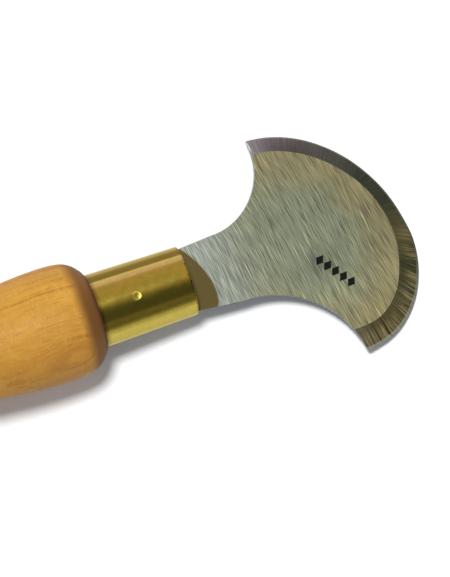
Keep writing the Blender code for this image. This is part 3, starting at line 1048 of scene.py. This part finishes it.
class KNIFE_OT_ferrule(bpy.types.Operator):
    """Make the polished brass ferrule with its sawn rim and its staking dimple"""

    bl_idname = "knife.ferrule"
    bl_label = "Ferrule"

    def execute(self, context):
        shape, finish = context.scene.knife_shape, context.scene.knife_finish
        mouth, back = FERRULE_RADII
        end, wall, rim = -FERRULE_LENGTH, FERRULE_WALL, 0.22 * MM
        quarter = np.linspace(0, math.pi / 2, 6)
        profile = [(-rim * (1 - math.cos(a)), mouth - rim * (1 - math.sin(a))) for a in quarter]
        near = [DIMPLE_PLACE + s for s in np.linspace(DIMPLE_AHEAD, -DIMPLE_BEHIND, 61) * MM]
        for x in [*np.linspace(-0.8 * MM, near[0] + 0.5 * MM, 14), *near]:
            profile.append((x, mouth + (back - mouth) * x / end))
        for x in np.linspace(near[-1] - 0.5 * MM, end + 0.25 * MM, 12):
            profile.append((x, mouth + (back - mouth) * x / end))
        outer_rows = len(profile)
        profile += [(end, back), (end, back - wall)]
        profile += [(x, mouth - wall + (back - mouth) * x / end) for x in (-20 * MM, -13 * MM, -6 * MM)]
        profile += [(-0.12 * MM, mouth - wall), (0.0, mouth - wall + 0.08 * MM)]

        def dent(row, x, r, angle):
            ahead, aside = (x - DIMPLE_PLACE) / MM, r * angle / MM
            chips = noise.noise(Vector((math.cos(angle) * 9, math.sin(angle) * 9, 0.0)))
            chips += 0.5 * noise.noise(Vector((math.cos(angle) * 31, math.sin(angle) * 31, 2.0)))
            sawn = 0.07 * MM * chips * max(0.0, 1 + x / (0.25 * MM))
            inside = abs(aside) <= DIMPLE_ASIDE and -DIMPLE_BEHIND < ahead < DIMPLE_AHEAD
            if row >= outer_rows or not inside:
                return sawn, 0.0
            return sawn, -shape.dimple_depth * punch(ahead, aside)

        sweep = np.linspace(-1, 1, 321)[:-1]
        angles = [math.pi * (0.25 * t + 0.75 * t**3) for t in sweep]
        mesh = lathe("ferrule_finished", profile, angles, True, dent)
        ferrule = new_piece("staked_ferrule", mesh, "ferrule_brass", "ferrule")
        ferrule.data.materials.append(polished_brass(finish))
        ferrule.data.set_sharp_from_angle(angle=math.radians(50.0))
        return {"FINISHED"}


def punch(ahead, aside):
    """Depth of the punch mark from 0 to 1, and a little below 0 on its raised lip, from millimetres."""
    back = 1.0 if ahead > 0 else max(0.0, 1.0 + ahead / 2.1) ** 1.4
    wide = 1.05 if ahead > 0 else 1.05 - 0.10 * ahead
    far = math.hypot(ahead if ahead > 0 else 0.0, aside) / wide
    bowl = max(0.0, 1.0 - far**2) ** 1.5
    lip = math.exp(-(((far - 1.1) / 0.16) ** 2)) * 0.07
    return back * (bowl - lip)


class KNIFE_OT_handle(bpy.types.Operator):
    """Make the turned, lacquered beech handle with its split tenon"""

    bl_idname = "knife.handle"
    bl_label = "Handle"

    def execute(self, context):
        shape, finish = context.scene.knife_shape, context.scene.knife_finish
        front = FERRULE_RADII[0] - FERRULE_WALL - GAP
        back = FERRULE_RADII[1] - FERRULE_WALL - GAP
        shoulder = -HANDLE_STATIONS[0][0] * MM
        face, corner = -TENON_RECESS, 0.2 * MM
        profile = [(face, 0.0), (face, front - corner), (face - corner, front)]
        profile += [(-12 * MM, (front + back) / 2), (shoulder, back)]
        profile += [(-s * MM, r * MM) for s, r in smooth_stations(HANDLE_STATIONS, 12)]
        for a in np.linspace(0, math.pi / 2, 34):
            profile.append((-BUTT_START - BUTT_LENGTH * math.sin(a), BUTT_RADIUS * math.cos(a)))
        profile[-1] = (profile[-1][0], 0.0)
        ripple = shape.turning_ripple

        def dent(row, x, r, angle):
            if x > shoulder - 0.3 * MM:
                return 0.0, 0.0
            at = Vector((x / MM * 0.11, math.sin(angle) * 1.1, math.cos(angle) * 1.1))
            turned = 0.25 * noise.noise(Vector((x / MM * 0.9, 0.0, 7.0)))
            return 0.0, ripple * (noise.noise(at) + turned)

        angles = np.linspace(0, 2 * math.pi, 181)[:-1]
        mesh = lathe("handle_finished", profile, angles, False, dent)
        handle = new_piece("turned_handle", mesh, "handle_beech", "handle")
        wide, kerf = FERRULE_RADII[1], THINNED / 2 + GAP
        cut_away(handle, box_mesh("kerf", (KERF_END, -wide, -kerf), (MM, wide, kerf)))
        depth = KERF_END + 2 * MM - BORE_END
        built = bmesh.new()
        bmesh.ops.create_cone(
            built, cap_ends=True, segments=48, radius1=BORE_RADIUS, radius2=BORE_RADIUS, depth=depth
        )
        turn = Matrix.Translation((BORE_END + depth / 2, 0, 0)) @ Matrix.Rotation(math.pi / 2, 4, "Y")
        cut_away(handle, to_mesh(built, "bore"), turn)
        handle.data.materials.clear()
        handle.data.materials.append(lacquered_beech(finish))
        handle.data.set_sharp_from_angle(angle=math.radians(40.0))
        return {"FINISHED"}


class KNIFE_OT_bedding(bpy.types.Operator):
    """Give the tang's bedding plug its cured resin"""

    bl_idname = "knife.bedding"
    bl_label = "Tang bedding"

    def execute(self, context):
        plug = frame["nodes"]["tang_bedding"]
        plug.data.materials.clear()
        plug.data.materials.append(cured_resin())
        return {"FINISHED"}


def area_light(name, direction, distance, size, power, target):
    """A round area light that faces the target from a direction."""
    lamp = bpy.data.lights.new(name, "AREA")
    lamp.shape = "DISK"
    lamp.size = size
    lamp.energy = power
    made = bpy.data.objects.new(name, lamp)
    bpy.context.scene.collection.objects.link(made)
    made.location = target + direction.normalized() * distance
    made.rotation_euler = (-direction).to_track_quat("-Z", "Y").to_euler()
    made.visible_camera = False
    return made


ROOM_BANDS = (
    (-98, (0.80, 0.80, 0.70)),
    (-86, (0.86, 0.79, 0.80)),
    (-76, (0.37, 0.35, 0.30)),
    (-68, (0.17, 0.165, 0.11)),
    (-60, (0.20, 0.19, 0.14)),
    (-52, (0.23, 0.21, 0.15)),
    (-44, (0.11, 0.11, 0.08)),
    (-28, (0.095, 0.095, 0.070)),
    (-14, (0.105, 0.105, 0.075)),
    (-6, (0.16, 0.15, 0.10)),
    (1, (0.27, 0.215, 0.12)),
    (9, (0.36, 0.29, 0.165)),
    (20, (0.47, 0.38, 0.255)),
    (32, (0.56, 0.45, 0.31)),
    (45, (0.64, 0.51, 0.37)),
    (66, (0.66, 0.52, 0.46)),
    (75, (1.10, 0.84, 1.60)),
    (88, (1.18, 0.88, 2.10)),
    (94, (0.45, 0.36, 0.50)),
)


class KNIFE_OT_studio(bpy.types.Operator):
    """Make the pale floor, the room's light, the two lamps and the camera"""

    bl_idname = "knife.studio"
    bl_label = "Studio"

    def execute(self, context):
        studio = context.scene.knife_studio
        self.make_floor()
        self.make_room(context.scene)
        self.make_lamps(studio)
        self.make_camera(context.scene, studio)
        context.scene.view_settings.view_transform = "Standard"
        context.scene.view_settings.look = "None"
        return {"FINISHED"}

    def make_floor(self):
        built = bmesh.new()
        bmesh.ops.create_circle(built, cap_ends=True, segments=96, radius=FLOOR_RADIUS)
        floor = bpy.data.objects.new("floor", to_mesh(built, "floor"))
        bpy.context.scene.collection.objects.link(floor)
        made, graph, shader = surface("pale_paper", {"Roughness": 0.9, "Specular IOR Level": 0.1})
        grain = graph.noise(graph.place()[0], 0.8, 3.0)
        base = graph.mix(grain, Tint.PAPER_DARK, Tint.PAPER_LIGHT)
        feed(graph, shader, base_color=base)
        floor.data.materials.append(made)

    def make_room(self, scene):
        """A soft white room. Glossy surfaces see it in bands that lie round the knife's axis."""
        world = bpy.data.worlds.new("room")
        scene.world = world
        world.use_nodes = True
        graph = Graph(world.node_tree)
        look = graph.make("TexCoord", {}, {}, output="Generated")
        across, up = KNIFE.col[1].xyz, KNIFE.col[2].xyz
        side = graph.make("VectorMath", {"operation": "DOT_PRODUCT"}, {0: look, 1: across}, "Value")
        rise = graph.make("VectorMath", {"operation": "DOT_PRODUCT"}, {0: look, 1: up}, "Value")
        lean = graph.make("Math", {"operation": "ARCTAN2"}, {0: side, 1: rise}) * math.degrees(1.0)
        bands = graph.tint_along(lean, ROOM_BANDS)
        glossy = graph.make("LightPath", {}, {}, output="Is Glossy Ray")
        seen = graph.make("LightPath", {}, {}, output="Is Camera Ray")
        fill = graph.mix(seen, (0.34, 0.355, 0.385), (0.95, 0.95, 0.95))
        background = world.node_tree.nodes["Background"]
        mixed = graph.mix(glossy, fill, bands)
        world.node_tree.links.new(mixed.socket, background.inputs["Color"])

    def make_lamps(self, studio):
        target = KNIFE.translation.copy()
        turn = KNIFE.to_3x3()
        key = area_light(
            "key", turn @ Vector(KEY_LEAN), KEY_DISTANCE, KEY_SIZE, studio.key_energy, target
        )
        key.light_linking.receiver_collection = bpy.data.collections[STEEL]
        area_light(
            "soft", turn @ Vector(SOFT_LEAN), SOFT_DISTANCE, SOFT_SIZE, studio.soft_energy, target
        )

    def make_camera(self, scene, studio):
        """A camera straight above the knife, turned so that the handle's axis climbs to the right."""
        lens = bpy.data.cameras.new("camera")
        camera = bpy.data.objects.new("camera", lens)
        scene.collection.objects.link(camera)
        mouth = KNIFE.translation
        ahead, aside = VIEW_CENTRE
        camera.location = (mouth.x + ahead, mouth.y + aside, studio.camera_height)
        camera.rotation_euler = (0.0, 0.0, -AXIS_CLIMB)
        lens.sensor_width = SENSOR_WIDTH
        lens.lens = lens.sensor_width * (studio.camera_height - mouth.z) / studio.view_height
        lens.clip_end = 20.0
        scene.camera = camera


class KNIFE_PT_panel(bpy.types.Panel):
    """Lists the knife's pieces and settings in the sidebar"""

    bl_idname = "KNIFE_PT_panel"
    bl_label = "Half-moon hand knife"
    bl_space_type = "VIEW_3D"
    bl_region_type = "UI"
    bl_category = "Knife"

    def draw(self, context):
        for operator in OPERATORS:
            self.layout.operator(operator.bl_idname)
        for name in SETTINGS:
            box = self.layout.box()
            group = getattr(context.scene, name)
            for field in group.__annotations__:
                box.prop(group, field)


SETTINGS = {"knife_shape": KnifeShape, "knife_finish": KnifeFinish, "knife_studio": KnifeStudio}
OPERATORS = (KNIFE_OT_blade, KNIFE_OT_ferrule, KNIFE_OT_handle, KNIFE_OT_bedding, KNIFE_OT_studio)
CLASSES = (*SETTINGS.values(), *OPERATORS, KNIFE_PT_panel)


def register():
    for cls in CLASSES:
        bpy.utils.register_class(cls)
    for name, group in SETTINGS.items():
        setattr(bpy.types.Scene, name, bpy.props.PointerProperty(type=group))


def unregister():
    for name in SETTINGS:
        delattr(bpy.types.Scene, name)
    for cls in reversed(CLASSES):
        bpy.utils.unregister_class(cls)


def main():
    """Builds the knife and its stage."""
    register()
    for operator in OPERATORS:
        group, name = operator.bl_idname.split(".")
        getattr(getattr(bpy.ops, group), name)()


if __name__ == "__main__":
    main()
